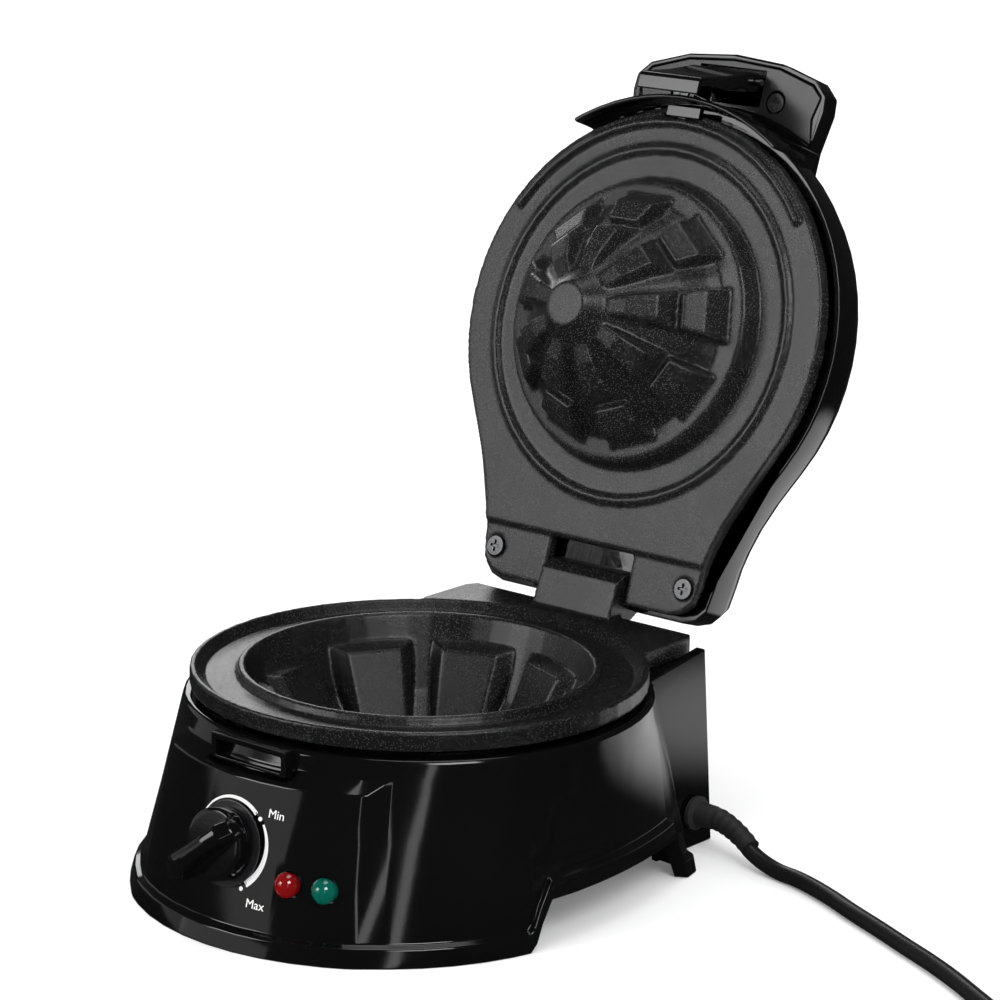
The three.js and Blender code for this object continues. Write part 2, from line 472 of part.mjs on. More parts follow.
  // bosses for the handle screws
  for (const x of [-24.4, 24.4]) h = h.subtract(cyl(2.2, 28, 36.4, 12).translate(x, -101.6, 0));
  put(lidIn, 'lid_housing', h, gloss);
  let c = cv(0.35, 28.1, 29.7);
  c = c.subtract(box(-17, 17, -114.2, -99, 27, 31));
  for (const x of [-24.4, 24.4]) c = c.subtract(cyl(5, 27, 31, 24).translate(x, -101.6, 0));
  put(lidIn, 'handle_cover', c, panelSlot);
  [-24.4, 24.4].forEach((x, i) => put(lidIn, 'handle_screw_' + (i + 1), cyl(4, 28.4, 29.7, 20)
    .add(cyl(1.8, 29.6, 36, 12))
    .subtract(box(-2.4, 2.4, -0.5, 0.5, 27, 29)).subtract(box(-0.5, 0.5, -2.4, 2.4, 27, 29)).translate(x,
      -101.6, 0), zinc));
}
// latch: a hook that swings on a pin in the handle
const LY = -108.6, LZ = 24.6;   // its pin, lid closed
{
  let l = prismX([[-111.8, 27.6], [-112, 20], [-106.6, 4], [-103.4, -9], [-102, -13.4], [-100.8, -14.1],
    [-95.2, -14.1], [-95, -13.2], [-99.4, -11.5], [-100.6, 2], [-102.4, 16], [-105, 27.2]], -15.4, 15.4);
  l = l.add(cylX(3.9, -15.4, 15.4, LY, LZ, 20)).subtract(box(-6, 6, -113, -103.9, 20.4, 33))
    .subtract(cylX(1.8, -20, 20, LY, LZ, 16));
  put(lidIn, 'latch', l, gloss);
  put(lidIn, 'latch_pin', cylX(1.5, -18.6, 18.6, LY, LZ, 12), steel);
  const pts = [];
  for (let i = 0; i <= 40; i++) pts.push([-4.6 + 9.2 * i / 40, LY + 2.7 * Math.cos(i / 10 * 2 * PI),
    LZ + 2.7 * Math.sin(i / 10 * 2 * PI)]);
  put(lidIn, 'latch_spring', rod(pts, 0.5, 4, 34), steel);
}
export default root;
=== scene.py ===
# %% [markdown]
# # A round donut maker, its lid standing open
# The appliance is a small table-top baker. A drum-shaped base holds a deep round
# baking mould, and a hinged lid carries the dome that presses into it. The CAD
# model gives every part its true place, in metres, with the origin on the table.
# We load it as a fixed frame and build the visible pieces and finishes round it.

# %% Tools and the frame
import math

import bmesh
import bpy
from mathutils import Matrix, Vector
from mathutils.bvhtree import BVHTree


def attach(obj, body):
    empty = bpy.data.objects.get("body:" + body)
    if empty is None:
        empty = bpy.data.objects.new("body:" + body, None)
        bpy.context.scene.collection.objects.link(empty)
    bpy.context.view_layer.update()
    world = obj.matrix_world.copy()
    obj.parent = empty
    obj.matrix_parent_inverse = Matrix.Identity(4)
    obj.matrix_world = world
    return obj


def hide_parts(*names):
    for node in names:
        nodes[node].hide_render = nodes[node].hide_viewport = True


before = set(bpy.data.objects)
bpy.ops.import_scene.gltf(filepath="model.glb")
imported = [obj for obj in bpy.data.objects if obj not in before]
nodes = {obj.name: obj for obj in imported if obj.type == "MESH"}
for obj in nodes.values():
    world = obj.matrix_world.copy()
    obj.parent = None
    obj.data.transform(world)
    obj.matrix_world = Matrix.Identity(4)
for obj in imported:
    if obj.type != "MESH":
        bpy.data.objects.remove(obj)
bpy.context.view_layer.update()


# %% [markdown]
# ## Places
# The maker's drawings measure from the middle of the mould's rim, in millimetres.
# `rim` turns such a point into metres on the table. The lid is drawn closed, and
# `LID_OPEN` swings a closed point round the hinge pin to where the lid stands.

# %% Points on the drawings
RIM_BACK, RIM_HIGH = -39.36, 83.1      # rim centre behind and above the origin
OPEN_ANGLE = math.radians(-107.8)
PANEL_LEAN = math.radians(13.2)
PANEL_TURN = 0.55                      # share of its bearing by which a dial turns


def rim(x, y, z):
    return Vector((x, y + RIM_BACK, z + RIM_HIGH)) / 1000


HINGE = rim(0, 109, 8.5)
LID_OPEN = (Matrix.Translation(HINGE) @ Matrix.Rotation(OPEN_ANGLE, 4, "X")
            @ Matrix.Translation(-HINGE))


def panel_place(x, y, z):
    """A frame on the leaning control panel, its z axis pointing out of it."""
    turn = Matrix.Rotation(math.atan2(x, -y) * PANEL_TURN, 4, "Z")
    lean = Matrix.Rotation(math.pi / 2 - PANEL_LEAN, 4, "X")
    return Matrix.Translation(rim(x, y, z)) @ turn @ lean


KNOB_PLACE = panel_place(0.5, -108.10, -46.4)
print("hinge", [round(v, 4) for v in HINGE])

# %% [markdown]
# ## Camera
# A long lens from a little above the table, at the front right corner. A long
# lens keeps the round rim from looking stretched. The three axes of the camera
# are written out, which also gives it a very slight roll.

# %% Camera
CAMERA_RIGHT = Vector((0.76690, 0.64155, 0.01523)).normalized()
CAMERA_BACK = Vector((0.61836, -0.74510, 0.24999)).normalized()
CAMERA_UP = CAMERA_BACK.cross(CAMERA_RIGHT)
CAMERA_SPOT = (0.87705, -1.04861, 0.49397)
LENS_MM, SENSOR_MM = 128.4, 36
camera_data = bpy.data.cameras.new("studio_camera")
camera_data.lens, camera_data.sensor_width = LENS_MM, SENSOR_MM
camera_data.clip_start, camera_data.clip_end = 0.05, 60
camera = bpy.data.objects.new("studio_camera", camera_data)
camera.matrix_world = Matrix.Translation(CAMERA_SPOT) @ Matrix(
    (CAMERA_RIGHT, CAMERA_UP, CAMERA_BACK)).transposed().to_4x4()
bpy.context.collection.objects.link(camera)
bpy.context.scene.camera = camera
print("camera at", [round(v, 3) for v in camera.location])

# %% [markdown]
# ## Power cord
# A round 6.6 mm lead leaves the rear block on the right, drops to the table and
# runs forward. What isn't needed is wound into a flat coil with a tie, and ends
# in its plug. A cord is one curve: a Bezier spline through the points of its
# route, with a round bevel for its jacket, keeps one thickness in every bend.

# %% Cord route
CORD_THICK = 6.6
CORD_SIDE, CORD_EXIT = 88, -68.6        # where the cord leaves the block
CORD_LOW = -79.7                        # centreline of a cord on the table
COIL_X, COIL_Y, COIL_R = 299, 40.4, 36
COIL_TURNS, COIL_RISE, TURN_POINTS = 2.25, 7.2, 16
lead = [(72, CORD_SIDE, CORD_EXIT), (83, CORD_SIDE, CORD_EXIT),
        (93, 86.4, CORD_EXIT - 3.2),
        (103, 83.4, -76.7), (116, 80.6, CORD_LOW), (130, 77.6, CORD_LOW),
        (148, 71, CORD_LOW), (166, 62.4, CORD_LOW), (183, 54.8, CORD_LOW),
        (200, 46.8, CORD_LOW), (217, 39, CORD_LOW), (233, 30.6, CORD_LOW),
        (248, 21.6, CORD_LOW), (262, 13.6, CORD_LOW), (278, 7, CORD_LOW),
        (288, 4.8, CORD_LOW)]
coil = []
for step in range(int(COIL_TURNS * TURN_POINTS) + 1):
    angle = math.radians(-90 + step * 360 / TURN_POINTS)
    coil.append((COIL_X + COIL_R * math.cos(angle), COIL_Y + COIL_R * math.sin(angle),
                 CORD_LOW + COIL_RISE * step / TURN_POINTS))
coil_top = coil[-1][2]
right = COIL_X + COIL_R
tail = [(right + 0.8, COIL_Y + 8.4, coil_top - 0.2),
        (right + 4.5, COIL_Y + 22.4, CORD_LOW + 11),
        (right + 6, COIL_Y + 42.4, CORD_LOW + 5.6),
        (right + 1, COIL_Y + 62.4, CORD_LOW + 3.2),
        (right - 5, COIL_Y + 77.4, CORD_LOW + 3.2)]
route = [rim(*p) for p in lead + coil + tail]

# %% [markdown]
# ## The jacket
# The route becomes a Bezier spline whose handles are worked out automatically, so
# that it passes every point without a corner. The bevel gives it its thickness and
# the caps close its ends.


# %% Cord curve
def curve_through(name, points, radius, rings):
    data = bpy.data.curves.new(name, "CURVE")
    data.dimensions = "3D"
    data.bevel_depth = radius
    data.bevel_resolution = rings
    data.resolution_u = 5
    data.use_fill_caps = True
    spline = data.splines.new("BEZIER")
    spline.bezier_points.add(len(points) - 1)
    for knot, point in zip(spline.bezier_points, points):
        knot.co = point
        knot.handle_left_type = knot.handle_right_type = "AUTO"
    obj = bpy.data.objects.new(name, data)
    bpy.context.collection.objects.link(obj)
    return obj


power_cord = curve_through("power_cord", route, CORD_THICK / 2000, rings=4)
print("jacket radius", power_cord.data.bevel_depth)

# %% [markdown]
# ## Working by hand in code
# Blender's operators act on whatever is selected. These helpers clear the
# selection, pick one object and apply a modifier, as a person would with the
# mouse, so each piece below can stay short.


# %% Selection and modifiers
def pick(obj):
    bpy.ops.object.select_all(action="DESELECT")
    obj.select_set(True)
    bpy.context.view_layer.objects.active = obj


def finish_with(obj, kind, **settings):
    pick(obj)
    mod = obj.modifiers.new(kind.lower(), kind)
    for key, value in settings.items():
        setattr(mod, key, value)
    bpy.ops.object.modifier_apply(modifier=mod.name)


def smooth(obj, degrees=38):
    pick(obj)
    bpy.ops.object.shade_smooth_by_angle(angle=math.radians(degrees))


def named(obj, name):
    obj.name = obj.data.name = name
    return obj


def place(obj, matrix):
    """Moves the piece by its mesh, so that its object stays at the origin."""
    obj.data.transform(matrix @ obj.matrix_world)
    obj.matrix_world = Matrix.Identity(4)
    return obj


def own_copy(node, name):
    """A merged copy of a CAD node's mesh, free to be shaped further."""
    obj = bpy.data.objects.new(name, nodes[node].data.copy())
    obj.data.name = name
    obj.data.materials.clear()
    bpy.context.collection.objects.link(obj)
    pick(obj)
    bpy.ops.object.mode_set(mode="EDIT")
    bpy.ops.mesh.select_all(action="SELECT")
    bpy.ops.mesh.remove_doubles(threshold=0.00002)
    bpy.ops.mesh.customdata_custom_splitnormals_clear()
    bpy.ops.object.mode_set(mode="OBJECT")
    return obj


def moulded_copy(node, name, edge=0.0006, degrees=30, segments=2):
    """A CAD node with flat faces joined and its sharp edges rolled over."""
    obj = own_copy(node, name)
    bpy.ops.object.mode_set(mode="EDIT")
    bpy.ops.mesh.select_all(action="SELECT")
    bpy.ops.mesh.dissolve_limited(angle_limit=math.radians(0.6))
    bpy.ops.object.mode_set(mode="OBJECT")
    finish_with(obj, "BEVEL", width=edge, segments=segments, limit_method="ANGLE",
                angle_limit=math.radians(degrees), use_clamp_overlap=False,
                miter_outer="MITER_ARC", harden_normals=False)
    smooth(obj)
    finish_with(obj, "WEIGHTED_NORMAL", keep_sharp=True, weight=60)
    return obj


print("helpers ready")

# %% [markdown]
# ## Strain relief
# A rubber sleeve with grooves lets the cord bend without kinking where it leaves
# the block. It tapers along the cord, so it is swept: rings of points are set
# square to the path, and each ring has its own radius.


# %% Swept sleeve
def swept(name, points, radii, sides=24):
    mesh = bmesh.new()
    rings = []
    for i, (point, radius) in enumerate(zip(points, radii)):
        ahead = points[min(i + 1, len(points) - 1)] - points[max(i - 1, 0)]
        turn = ahead.normalized().to_track_quat("Z", "Y")
        rings.append([mesh.verts.new(point + turn @ Vector(
            (radius * math.cos(a * math.tau / sides), radius * math.sin(a * math.tau / sides), 0)))
            for a in range(sides)])
    for low, high in zip(rings, rings[1:]):
        for a in range(sides):
            b = (a + 1) % sides
            mesh.faces.new((low[a], low[b], high[b], high[a]))
    mesh.faces.new(list(reversed(rings[0])))
    mesh.faces.new(rings[-1])
    obj = bpy.data.objects.new(name, bpy.data.meshes.new(name))
    mesh.to_mesh(obj.data)
    mesh.free()
    bpy.context.collection.objects.link(obj)
    return obj


SLEEVE_START, SLEEVE_STEP, SLEEVE_RINGS = 70.9, 0.9, 35
DROOP_START, DROOP_RUN, DROOP_CURVE = 81, 20, 1.6
DROOP_SIDE, DROOP_DOWN = 3.6, 6.4
COLLAR_END, COLLAR_RADIUS = 73, 7.0
BODY_RADIUS, BODY_TAPER, BODY_LENGTH = 5.1, 1.1, 29
GROOVES_START, GROOVE_DEPTH = 80, 0.25
sleeve_path, sleeve_radii = [], []
for i in range(SLEEVE_RINGS):
    x = SLEEVE_START + i * SLEEVE_STEP
    drop = (max(0.0, x - DROOP_START) / DROOP_RUN) ** DROOP_CURVE
    y = CORD_SIDE - DROOP_SIDE * drop
    z = CORD_EXIT - DROOP_DOWN * drop
    body_radius = BODY_RADIUS - BODY_TAPER * (x - COLLAR_END) / BODY_LENGTH
    base_radius = COLLAR_RADIUS if x < COLLAR_END else body_radius
    groove = GROOVE_DEPTH if x > GROOVES_START and i % 4 in (0, 1) else 0
    sleeve_path.append(rim(x, y, z))
    sleeve_radii.append((base_radius - groove) / 1000)
strain_relief = swept("strain_relief", sleeve_path, sleeve_radii)
smooth(strain_relief, 50)
print("sleeve length", round((sleeve_path[-1] - sleeve_path[0]).length, 4))

# %% [markdown]
# ## Tie and plug
# A small rubber loop keeps the turns of the coil together. It is a torus, set
# upright and stretched to the height of the coil, because a ring that is squeezed
# in one direction only is just what a loop round a bundle looks like. The plug
# keeps its CAD shape, with its corners well rolled for the hand.

# %% Tie round the coil
TIE_RADIUS, TIE_THICK, TIE_HIGH = 0.0052, 0.0009, 9.2
TIE_STRETCH = (0.92, 2.6, 1.66, 1)
bpy.ops.object.select_all(action="DESELECT")
bpy.ops.mesh.primitive_torus_add(major_radius=TIE_RADIUS, minor_radius=TIE_THICK,
                                 major_segments=32, minor_segments=10)
coil_tie = named(bpy.context.object, "coil_tie")
place(coil_tie, Matrix.Translation(rim(COIL_X - COIL_R, COIL_Y, CORD_LOW + TIE_HIGH))
      @ Matrix.Diagonal(TIE_STRETCH) @ Matrix.Rotation(math.pi / 2, 4, "X"))
smooth(coil_tie, 60)
plug_grip = moulded_copy("plug_body", "plug_grip", edge=0.0022, segments=4, degrees=25)
print("tie height", round(coil_tie.dimensions.z, 4))

# %% [markdown]
# ## Floor
# Shiny black plastic shows nothing but what it mirrors, so the pale floor is white
# to the eye but dark to its reflections. Only a patch beside the rear block glows
# in them. That patch is a painted pool of light, standing in for floor lit brightly
# there. A light path node tells the two kinds of ray apart.


# %% Floor
def link(tree, a, b):
    tree.links.new(a, b)


def put_node(tree, kind, **values):
    """Adds a shader node; a value is an input's number or one of its settings."""
    made = tree.nodes.new("ShaderNode" + kind)
    for key, value in values.items():
        if key in made.inputs:
            made.inputs[key].default_value = value
        else:
            setattr(made, key, value)
    return made


FLOOR_SIZE = 40
# painted light: reflections see a glowing patch of floor beside the rear block, fading from there
PAINTED_LIGHT_SPOT = (0.16, 0.30, 0)
PAINTED_LIGHT_FADE = {"From Min": 0.08, "From Max": 0.18, "To Min": 1.5, "To Max": 0.02}
bpy.ops.object.select_all(action="DESELECT")
bpy.ops.mesh.primitive_plane_add(size=FLOOR_SIZE)
studio_floor = named(bpy.context.object, "studio_floor")
floor_paint = bpy.data.materials.new("floor_paint")
floor_paint.use_nodes = True
tree = floor_paint.node_tree
tree.nodes.clear()
out = put_node(tree, "OutputMaterial")
eye = put_node(tree, "LightPath")
matte = put_node(tree, "BsdfDiffuse", Color=(0.86, 0.86, 0.865, 1))
glow = put_node(tree, "Emission", Color=(1, 1, 1, 1), Strength=0.12)
both = put_node(tree, "AddShader")
# painted light: this glow is all that reflections see of the floor, bright only in the patch
# beside the rear block
dim = put_node(tree, "Emission", Color=(1, 1, 1, 1))
reach = put_node(tree, "TexCoord")
away = put_node(tree, "VectorMath", operation="DISTANCE")
away.inputs[1].default_value = PAINTED_LIGHT_SPOT
fade = put_node(tree, "MapRange", interpolation_type="SMOOTHSTEP")
for label, value in PAINTED_LIGHT_FADE.items():
    fade.inputs[label].default_value = value
link(tree, reach.outputs["Object"], away.inputs[0])
link(tree, away.outputs["Value"], fade.inputs["Value"])
link(tree, fade.outputs[0], dim.inputs["Strength"])
choose = put_node(tree, "MixShader")
link(tree, matte.outputs[0], both.inputs[0])
link(tree, glow.outputs[0], both.inputs[1])
link(tree, eye.outputs["Is Glossy Ray"], choose.inputs[0])
link(tree, both.outputs[0], choose.inputs[1])
link(tree, dim.outputs[0], choose.inputs[2])
link(tree, choose.outputs[0], out.inputs[0])
studio_floor.data.materials.append(floor_paint)
print("floor", FLOOR_SIZE, "m wide")

# %% [markdown]
# ## Room
# The room is plain white and lights the appliance from all round. Its reflections
# are almost black, for the same reason as those of the floor.

# %% Room
world = bpy.data.worlds.new("white_room")
bpy.context.scene.world = world
world.use_nodes = True
tree = world.node_tree
tree.nodes.clear()
out = put_node(tree, "OutputWorld")
eye = put_node(tree, "LightPath")
bright = put_node(tree, "Background", Color=(1, 1, 1, 1), Strength=1.0)
soft = put_node(tree, "Background", Color=(1, 1, 1, 1), Strength=0.03)
choose = put_node(tree, "MixShader")
link(tree, eye.outputs["Is Glossy Ray"], choose.inputs[0])
link(tree, bright.outputs[0], choose.inputs[1])
link(tree, soft.outputs[0], choose.inputs[2])
link(tree, choose.outputs[0], out.inputs[0])
bpy.context.scene.view_settings.view_transform = "Standard"
print("room", world.name)

# %% [markdown]
# ## Soft boxes
# Seven rectangular lamps draw the bright bands on the housing. All of them aim at
# the middle of the appliance. A large lamp gives a wide soft band and a narrow one
# a thin line.


# %% Lights
def softbox(name, spot, aim, wide, high, watts):
    data = bpy.data.lights.new(name, "AREA")
    data.shape = "RECTANGLE"
    data.size, data.size_y, data.energy = wide, high, watts
    lamp = bpy.data.objects.new(name, data)
    lamp.location = spot
    lamp.rotation_euler = (Vector(aim) - Vector(spot)).to_track_quat("-Z", "Y").to_euler()
    bpy.context.collection.objects.link(lamp)


MIDDLE = (0, 0, 0.12)
SOFTBOXES = [
    # name, place, wide, high, watts
    ("box_left", (-1.85, -0.5, 0.45), 1.7, 0.9, 1.7),
    ("box_front_low", (-1.15, -1.85, 0.26), 1.8, 0.44, 1.6),
    ("box_front", (-1.0, -1.75, 0.95), 1.0, 0.8, 13.0),
    ("box_near_right", (1.5, -1.45, 0.6), 0.13, 0.9, 0.8),
    ("box_high_right", (1.5, -0.9, 1.6), 0.8, 0.8, 17.0),
    ("box_back", (-1.85, 1.45, 0.95), 1.3, 1.0, 11.0),
    ("box_top", (0.0, 0.2, 2.4), 1.0, 1.0, 7.0),
]
for name, spot, wide, high, watts in SOFTBOXES:
    softbox(name, spot, MIDDLE, wide, high, watts)
print("soft boxes", len(SOFTBOXES))

# %% [markdown]
# ## Building blocks for effects
# A node group is a small shader program with its own inputs, so that it can be
# written once and used by every finish. These helpers start a group, spread a
# value between two limits and add noise that sits still on the piece.


# %% Tools for node groups
def effect(name, inputs, outputs):
    tree = bpy.data.node_groups.new(name, "ShaderNodeTree")
    for label, start in inputs.items():
        socket = tree.interface.new_socket(label, in_out="INPUT", socket_type="NodeSocketFloat")
        socket.default_value = start
    for label in outputs:
        tree.interface.new_socket(label, in_out="OUTPUT", socket_type="NodeSocketFloat")
    return (tree, tree.nodes.new("NodeGroupInput").outputs,
            tree.nodes.new("NodeGroupOutput").inputs)


def ramp(tree, value, low, high, to_low=0.0, to_high=1.0):
    """Spreads a value between two limits; limits may be sockets."""
    node = put_node(tree, "MapRange")
    link(tree, value, node.inputs["Value"])
    for label, limit in (("From Min", low), ("From Max", high), ("To Min", to_low),
                         ("To Max", to_high)):
        if isinstance(limit, (int, float)):
            node.inputs[label].default_value = limit
        else:
            link(tree, limit, node.inputs[label])
    return node.outputs[0]


def noise(tree, scale, detail=3.0, rough=0.5):
    place_on = put_node(tree, "TexCoord")
    node = put_node(tree, "TexNoise", Detail=detail, Roughness=rough)
    link(tree, place_on.outputs["Object"], node.inputs["Vector"])
    if isinstance(scale, (int, float)):
        node.inputs["Scale"].default_value = scale
    else:
        link(tree, scale, node.inputs["Scale"])
    return node.outputs["Fac"]


print("group tools ready")

# %% [markdown]
# ## Drift and grain
# Real plastic and metal are never one flat value. The drift is a slow wander
# across the whole piece, and the grain is a fine noise for the bump.

# %% Drift and grain groups
drift_group, given, result = effect("slow_drift", {"Scale": 12, "Low": 0, "High": 1}, ["Value"])
link(drift_group, ramp(drift_group, noise(drift_group, given["Scale"]), 0.3, 0.7,
                       given["Low"], given["High"]), result["Value"])

grain_group, given, result = effect("fine_grain", {"Scale": 900, "Sharpness": 0.5}, ["Height"])
link(grain_group, noise(grain_group, given["Scale"], 4, 0.6), result["Height"])
print("groups", drift_group.name, grain_group.name)

# %% [markdown]
# ## Speckles
# A Voronoi texture has a random point in each of its cells. A speckle is drawn
# round the point where it is near enough and where the random colour of the cell
# falls under the share that is wanted.

# %% Speckle group
speckle_group, given, result = effect("speckle", {"Scale": 1500, "Size": 0.25, "Share": 0.3},
                                      ["Mask"])
spot = put_node(speckle_group, "TexVoronoi")
where = put_node(speckle_group, "TexCoord")
link(speckle_group, where.outputs["Object"], spot.inputs["Vector"])
link(speckle_group, given["Scale"], spot.inputs["Scale"])
split = put_node(speckle_group, "SeparateColor")
link(speckle_group, spot.outputs["Color"], split.inputs[0])
near = put_node(speckle_group, "Math", operation="LESS_THAN")
link(speckle_group, spot.outputs["Distance"], near.inputs[0])
link(speckle_group, given["Size"], near.inputs[1])
few = put_node(speckle_group, "Math", operation="LESS_THAN")
link(speckle_group, split.outputs[0], few.inputs[0])
link(speckle_group, given["Share"], few.inputs[1])
dots = put_node(speckle_group, "Math", operation="MULTIPLY")
link(speckle_group, near.outputs[0], dots.inputs[0])
link(speckle_group, few.outputs[0], dots.inputs[1])
link(speckle_group, dots.outputs[0], result["Mask"])
print("group", speckle_group.name)

# %% [markdown]
# ## Worn edges
# A bevel node rounds the normal near an edge. Where that normal differs from the
# real one there is an edge, and a patchy noise keeps the wear from being even.

# %% Wear group
wear_group, given, result = effect("edge_wear", {"Radius": 0.0008, "Amount": 1}, ["Mask"])
rounded = put_node(wear_group, "Bevel", samples=4)
link(wear_group, given["Radius"], rounded.inputs["Radius"])
flat = put_node(wear_group, "NewGeometry")
meet = put_node(wear_group, "VectorMath", operation="DOT_PRODUCT")
link(wear_group, rounded.outputs[0], meet.inputs[0])
link(wear_group, flat.outputs["Normal"], meet.inputs[1])
edge = ramp(wear_group, meet.outputs["Value"], 0.995, 0.88)
patchy = put_node(wear_group, "Math", operation="MULTIPLY")
link(wear_group, edge, patchy.inputs[0])
link(wear_group, ramp(wear_group, noise(wear_group, 160), 0.35, 0.65, 0.3, 1), patchy.inputs[1])
scaled = put_node(wear_group, "Math", operation="MULTIPLY")
link(wear_group, patchy.outputs[0], scaled.inputs[0])
link(wear_group, given["Amount"], scaled.inputs[1])
link(wear_group, scaled.outputs[0], result["Mask"])
print("groups", [g.name for g in bpy.data.node_groups])

# %% [markdown]
# ## Recipe for a finish
# Every finish starts from the same recipe: two close colours that drift into
# each other, speckles and worn edges mixed over them, a roughness that wanders
# between two values and a bump from the grain. Only the numbers differ.


# %% Recipe
def use(tree, group, **values):
    node = tree.nodes.new("ShaderNodeGroup")
    node.node_tree = group
    for key, value in values.items():
        node.inputs[key].default_value = value
    return node.outputs[0]


def blend_colour(tree, mask, first, second):
    node = put_node(tree, "Mix", data_type="RGBA")
    link(tree, mask, node.inputs["Factor"])
    for socket, colour in ((node.inputs[6], first), (node.inputs[7], second)):
        if isinstance(colour, tuple):
            socket.default_value = (*colour, 1)
        else:
            link(tree, colour, socket)
    return node.outputs[2]


def finish(name, dark, light, rough=(0.2, 0.3), grain=(900, 0.05), drift=14,
           worn=None, wear=0.5, speckle=None, coat=0.0, metal=0.0, **own):
    """A material; own holds further sockets of the shader, such as IOR."""
    made = bpy.data.materials.new(name)
    made.use_nodes = True
    tree = made.node_tree
    shader = tree.nodes["Principled BSDF"]
    colour = blend_colour(tree, use(tree, drift_group, Scale=drift), dark, light)
    rough_value = use(tree, drift_group, Scale=drift * 2.3, Low=rough[0], High=rough[1])
    height = use(tree, grain_group, Scale=grain[0])
    if speckle:
        scale, size, share, tint, shine = speckle
        dots = use(tree, speckle_group, Scale=scale, Size=size, Share=share)
        colour = blend_colour(tree, dots, colour, tint)
        add = put_node(tree, "Math", operation="ADD")
        link(tree, height, add.inputs[0])
        link(tree, dots, add.inputs[1])
        height = add.outputs[0]
        rough_value = ramp(tree, dots, 0, 1, rough_value, shine)
    if worn:
        mask = use(tree, wear_group, Amount=wear)
        colour = blend_colour(tree, mask, colour, worn)
    link(tree, colour, shader.inputs["Base Color"])
    link(tree, rough_value, shader.inputs["Roughness"])
    bump = put_node(tree, "Bump", Strength=grain[1], Distance=0.0004)
    link(tree, height, bump.inputs["Height"])
    link(tree, bump.outputs[0], shader.inputs["Normal"])
    shader.inputs["Metallic"].default_value = metal
    shader.inputs["Coat Weight"].default_value = coat
    shader.inputs["Coat Roughness"].default_value = 0.04
    for key, value in own.items():
        shader.inputs[key.replace("_", " ")].default_value = value
    return made

print("recipe ready")

# %% [markdown]
# ## The finishes themselves
# Colours are dark and close together, since black plastic differs in gloss more
# than in colour. The lamps let some light through, the metals are fully metallic,
# and both non-stick plates carry speckles. The dome plate has its own copy of the
# same coat, painted lighter: painted light, for the light the dome catches more
# than the deep mould.

# %% Materials
piano_black = finish("piano_black", (0.0016, 0.0016, 0.0018), (0.0028, 0.0028, 0.0031),
                     rough=(0.06, 0.11), grain=(700, 0.012), worn=(0.014, 0.014, 0.015),
                     wear=0.4)
satin_black = finish("satin_black", (0.008, 0.008, 0.009), (0.013, 0.013, 0.014),
                     rough=(0.2, 0.27), grain=(1600, 0.05), worn=(0.03, 0.03, 0.032), wear=0.5)
nonstick = finish("nonstick", (0.004, 0.004, 0.0043), (0.007, 0.007, 0.0074),
                  rough=(0.22, 0.3), grain=(2600, 0.25), worn=(0.13, 0.13, 0.132), wear=0.6,
                  speckle=(1900, 0.4, 0.3, (0.035, 0.035, 0.035), 0.22))
# painted light: the dome plate's copy of the same non-stick coat, made lighter for the light it
# catches
nonstick_lid = finish("nonstick_lid", (0.007, 0.007, 0.0073), (0.012, 0.012, 0.0125),
                      rough=(0.22, 0.3), grain=(2600, 0.25), worn=(0.13, 0.13, 0.132), wear=0.6,
                      speckle=(1900, 0.4, 0.34, (0.06, 0.06, 0.06), 0.22))
inner_plastic = finish("inner_plastic", (0.012, 0.012, 0.012), (0.02, 0.02, 0.02),
                       rough=(0.45, 0.6), grain=(1300, 0.2), worn=(0.04, 0.04, 0.04), wear=0.6)
soft_rubber = finish("soft_rubber", (0.012, 0.012, 0.012), (0.02, 0.02, 0.021),
                     rough=(0.5, 0.7), grain=(1800, 0.25), worn=(0.045, 0.045, 0.045), wear=0.6)
cord_jacket = finish("cord_jacket", (0.006, 0.006, 0.006), (0.011, 0.011, 0.011),
                     rough=(0.26, 0.36), grain=(1200, 0.08))
bright_steel = finish("bright_steel", (0.42, 0.42, 0.43), (0.56, 0.56, 0.57), metal=1.0,
                      rough=(0.18, 0.32), grain=(1500, 0.08), worn=(0.7, 0.7, 0.7), wear=0.6)
dark_zinc = finish("dark_zinc", (0.10, 0.10, 0.105), (0.17, 0.17, 0.175), metal=1.0,
                   rough=(0.3, 0.45), grain=(1300, 0.1), worn=(0.4, 0.4, 0.4), wear=0.7)
warm_brass = finish("warm_brass", (0.50, 0.36, 0.14), (0.62, 0.46, 0.20), metal=1.0,
                    rough=(0.2, 0.35), grain=(1400, 0.08), worn=(0.8, 0.66, 0.4), wear=0.5)
red_glass = finish("red_glass", (0.10, 0.0015, 0.002), (0.30, 0.005, 0.006),
                   rough=(0.03, 0.06), grain=(300, 0.01), coat=1.0, Transmission_Weight=0.35)
green_glass = finish("green_glass", (0.0006, 0.05, 0.035), (0.002, 0.17, 0.12),
                     rough=(0.03, 0.06), grain=(300, 0.01), coat=1.0, Transmission_Weight=0.35)
white_print = finish("white_print", (0.74, 0.74, 0.73), (0.82, 0.82, 0.81),
                     rough=(0.4, 0.5), grain=(2000, 0.05))
print("finishes", len(bpy.data.materials))

# %% [markdown]
# ## Dressing a piece
# Most pieces need the same three things: a finish, the body that they move with
# and the CAD nodes that they stand for, which are hidden. The cord and its
# fittings come first.


# %% Dress the cord
def dress(obj, paint, body, slot=None, *stands_for):
    """Gives a piece its finish and its body and hides the nodes it replaces; slot is not used."""
    obj.data.materials.clear()
    obj.data.materials.append(paint)
    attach(obj, body)
    if stands_for:
        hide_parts(*stands_for)


dress(power_cord, cord_jacket, "base", "cord", "cord", "cord_coil", "cord_tail")
dress(strain_relief, soft_rubber, "base", "rubber", "cord_gland")
dress(coil_tie, soft_rubber, "base", "rubber")
dress(plug_grip, soft_rubber, "base", "rubber", "plug_body")
print("cord declared, thickness", CORD_THICK / 1000)

